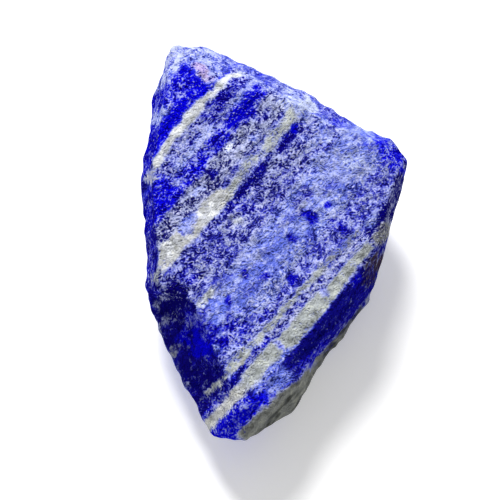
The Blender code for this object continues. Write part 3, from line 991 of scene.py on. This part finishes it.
# %% White grains, painted shade in the pits and painted glints
WHITE_PULL = 1.3
WHITE_STEP = (-1.7, 1.7)
PIT_STEP = (-0.4, 0.9)
GLINT_STEP = (-0.3, 1.0)
liveliness = attribute("lively")
white_sum = clouds * 0.42 + crystals * 0.55 + threads * 0.60 + fine * 0.25
is_white = lapis.step(white_sum * liveliness - attribute("white_line") * WHITE_PULL, *WHITE_STEP)
# the painted glints follow the crests of the threads and crystals, where the bump is high
glint_sum = (threads * 0.75 + crystals * 0.35 + fine * 0.55) * liveliness
is_painted_glint = lapis.step(glint_sum - attribute("painted_glint_line"), *GLINT_STEP)
# the painted shade of the pits lies in the low places of the same waves
pit_shade_sum = (0 - threads * 0.65 - crystals * 0.45 - fine * 0.45 - clouds * 0.4) * liveliness
is_shaded_pit = lapis.step(pit_shade_sum - attribute("speck_and_pit_shade_line"), *PIT_STEP)
print("minerals:", len(lapis.tree.nodes), "nodes")

# %% [markdown]
# The calcite isn't one white: clay stains it in olive patches, and chalky places stand out pale.
# Both are multiplied over it, so that a dark stain stays dark; a plain mix would turn it grey.
# Then the minerals and the painted light are laid over each other: blue, white, the painted
# shade in the pits and the painted glints.

# %% The colour of the rock
STAIN = (0.46, 0.46, 0.41, 1)
CHALK = (1.55, 1.52, 1.35, 1)
# painted shade: the dark blue laid in the pits between the crystals
PIT_SHADE = (0.004, 0.002, 0.11, 1)
STAIN_STRENGTH = 0.55
CHALK_STRENGTH = 0.75
PIT_STRENGTH = 0.85
PAINTED_GLINT_STRENGTH = 0.88
STAIN_STEP = (0.3, 2.2)
CHALK_STEP = (0.2, 2.4)
is_stained = lapis.step(blotches + noise(straight, size=0.8), *STAIN_STEP)
is_chalky = lapis.step(0 - blotches - threads * 0.8, *CHALK_STEP)
# the painted shade of the pits and the bumps are half as strong where the rock is all white
softer_on_white = 1 - is_white * 0.5
calcite = lapis.mix(is_stained * STAIN_STRENGTH, attribute("white_stone", "Color"), STAIN, "MULTIPLY")
calcite = lapis.mix(is_chalky * CHALK_STRENGTH, calcite, CHALK, "MULTIPLY")
colour = lapis.mix(is_white, attribute("blue_stone", "Color"), calcite)
# lay the painted shade in the pits
colour = lapis.mix(is_shaded_pit * softer_on_white * PIT_STRENGTH, colour, PIT_SHADE)
# painted highlights: the glints on the crystals' edges
colour = lapis.mix(is_painted_glint * PAINTED_GLINT_STRENGTH, colour, attribute("painted_glint_colour", "Color"))
print("colour:", len(lapis.tree.nodes), "nodes")

# %% [markdown]
# A broken crystal surface is full of tiny facets. A cell pattern tilts each facet its own way, and
# a bump raises the threads and the crystals. That is only shading; lumps and ledges that show in
# the outline are in the mesh. The rock is dull, so its mirror shine is switched off.

# %% Facets, bump and the finished material
FACET_SIZE = 0.33
FACET_TILT = 0.55
BUMP_HEIGHT = 0.07
BUMP_STRENGTH = 0.8
ROUGHNESS = 0.48
ROUGHNESS_CHANGE = 0.05
facets = lapis.node("ShaderNodeTexVoronoi", {}, {"Vector": straight, "Scale": 1 / FACET_SIZE}, "Color")
tilt = lapis.vector("SCALE", lapis.vector("SUBTRACT", facets, (0.5, 0.5, 0.5)), Scale=FACET_TILT)
outward = lapis.node("ShaderNodeNewGeometry", output="Normal")
tilted = lapis.vector("NORMALIZE", lapis.vector("ADD", outward, tilt))
height = (threads * 0.9 + crystals * 0.8 + fine * 0.4) * softer_on_white
bump_sockets = {
    "Height": height,
    "Normal": tilted,
    "Strength": BUMP_STRENGTH,
    "Distance": BUMP_HEIGHT * MM,
}
rock_sockets = {
    "Base Color": colour,
    "Roughness": ROUGHNESS + blotches * ROUGHNESS_CHANGE,
    "Normal": lapis.node("ShaderNodeBump", {}, bump_sockets),
    "Specular IOR Level": 0.0,
}
surface = lapis.node("ShaderNodeBsdfPrincipled", {}, rock_sockets)
lapis.node("ShaderNodeOutputMaterial", {}, {"Surface": surface})
mesh.materials.append(lapis.material)
print("lapis material:", len(lapis.tree.nodes), "nodes")

# %% [markdown]
# The stone lies on a pale floor. The floor glows faintly, like a light table, which keeps it as
# pale as paper without a stronger lamp, and softens the shadow.

# %% The floor
FLOOR_HALF = 2.0
FLOOR_GLOW = 0.3
scene = bpy.context.scene
scene.view_settings.view_transform = "Standard"
floor_corners = [(x * FLOOR_HALF, y * FLOOR_HALF, 0) for x, y in ((-1, -1), (1, -1), (1, 1), (-1, 1))]
floor_mesh = bpy.data.meshes.new("floor")
floor_mesh.from_pydata(floor_corners, [], [(0, 1, 2, 3)])
floor = bpy.data.objects.new("floor", floor_mesh)
scene.collection.objects.link(floor)
paper = Recipe("floor_paper")
paper_colours = {
    "Base Color": (0.9, 0.9, 0.9, 1),
    "Roughness": 1.0,
    "Specular IOR Level": 0.0,
    "Emission Color": (1, 1, 1, 1),
    "Emission Strength": FLOOR_GLOW,
}
paper_surface = paper.node("ShaderNodeBsdfPrincipled", {}, paper_colours)
paper.node("ShaderNodeOutputMaterial", {}, {"Surface": paper_surface})
floor_mesh.materials.append(paper.material)
print(floor.name, 2 * FLOOR_HALF, "m wide")

# %% [markdown]
# One lamp stands high behind the stone, a little to the left, as in the photograph, and a pale sky
# fills the shadows. The lamp is a sun that looks 24 degrees wide, like a soft box close by: an
# area lamp would do the same, but its light would fall off over the stone's length.

# %% The light
LAMP_STRENGTH = 4.4
LAMP_WIDTH = math.radians(24)
LAMP_DIRECTION = (0.14, -0.70, -0.70)
SKY_STRENGTH = 0.42
lamp_data = bpy.data.lights.new("soft_lamp", "SUN")
lamp_data.energy = LAMP_STRENGTH
lamp_data.angle = LAMP_WIDTH
lamp = bpy.data.objects.new("soft_lamp", lamp_data)
lamp.rotation_mode = "QUATERNION"
lamp.rotation_quaternion = Vector(LAMP_DIRECTION).to_track_quat("-Z", "Y")
scene.collection.objects.link(lamp)
sky = bpy.data.worlds.new("sky")
sky.use_nodes = True
background = sky.node_tree.nodes["Background"]
background.inputs["Color"].default_value = (1, 1, 1, 1)
background.inputs["Strength"].default_value = SKY_STRENGTH
scene.world = sky
print("light comes from", LAMP_DIRECTION)

# %% [markdown]
# The camera looks down at the stone as steeply as in the photograph, from nearly half a metre
# away, with a long lens that makes the stone as large in the frame as it is there. Its three
# directions and its place are written straight into its matrix; a Track To constraint would only
# aim it, and the stone lies a little right of the picture's middle.

# %% The camera
SENSOR_WIDTH = 36
LENS = 170.53
STONE_RIGHT_OF_MIDDLE = 4.655
camera_data = bpy.data.cameras.new("camera")
camera_data.sensor_width = SENSOR_WIDTH
camera_data.lens = LENS
camera = bpy.data.objects.new("camera", camera_data)
eye = HEART + EYE_DISTANCE * to_eye - STONE_RIGHT_OF_MIDDLE * picture_right
columns = [picture_right, picture_up, to_eye, eye * MM]
camera.matrix_world = Matrix(np.vstack([np.array(columns).T, (0, 0, 0, 1)]).tolist())
scene.collection.objects.link(camera)
scene.camera = camera
print("camera at", np.round(eye, 1), "mm")
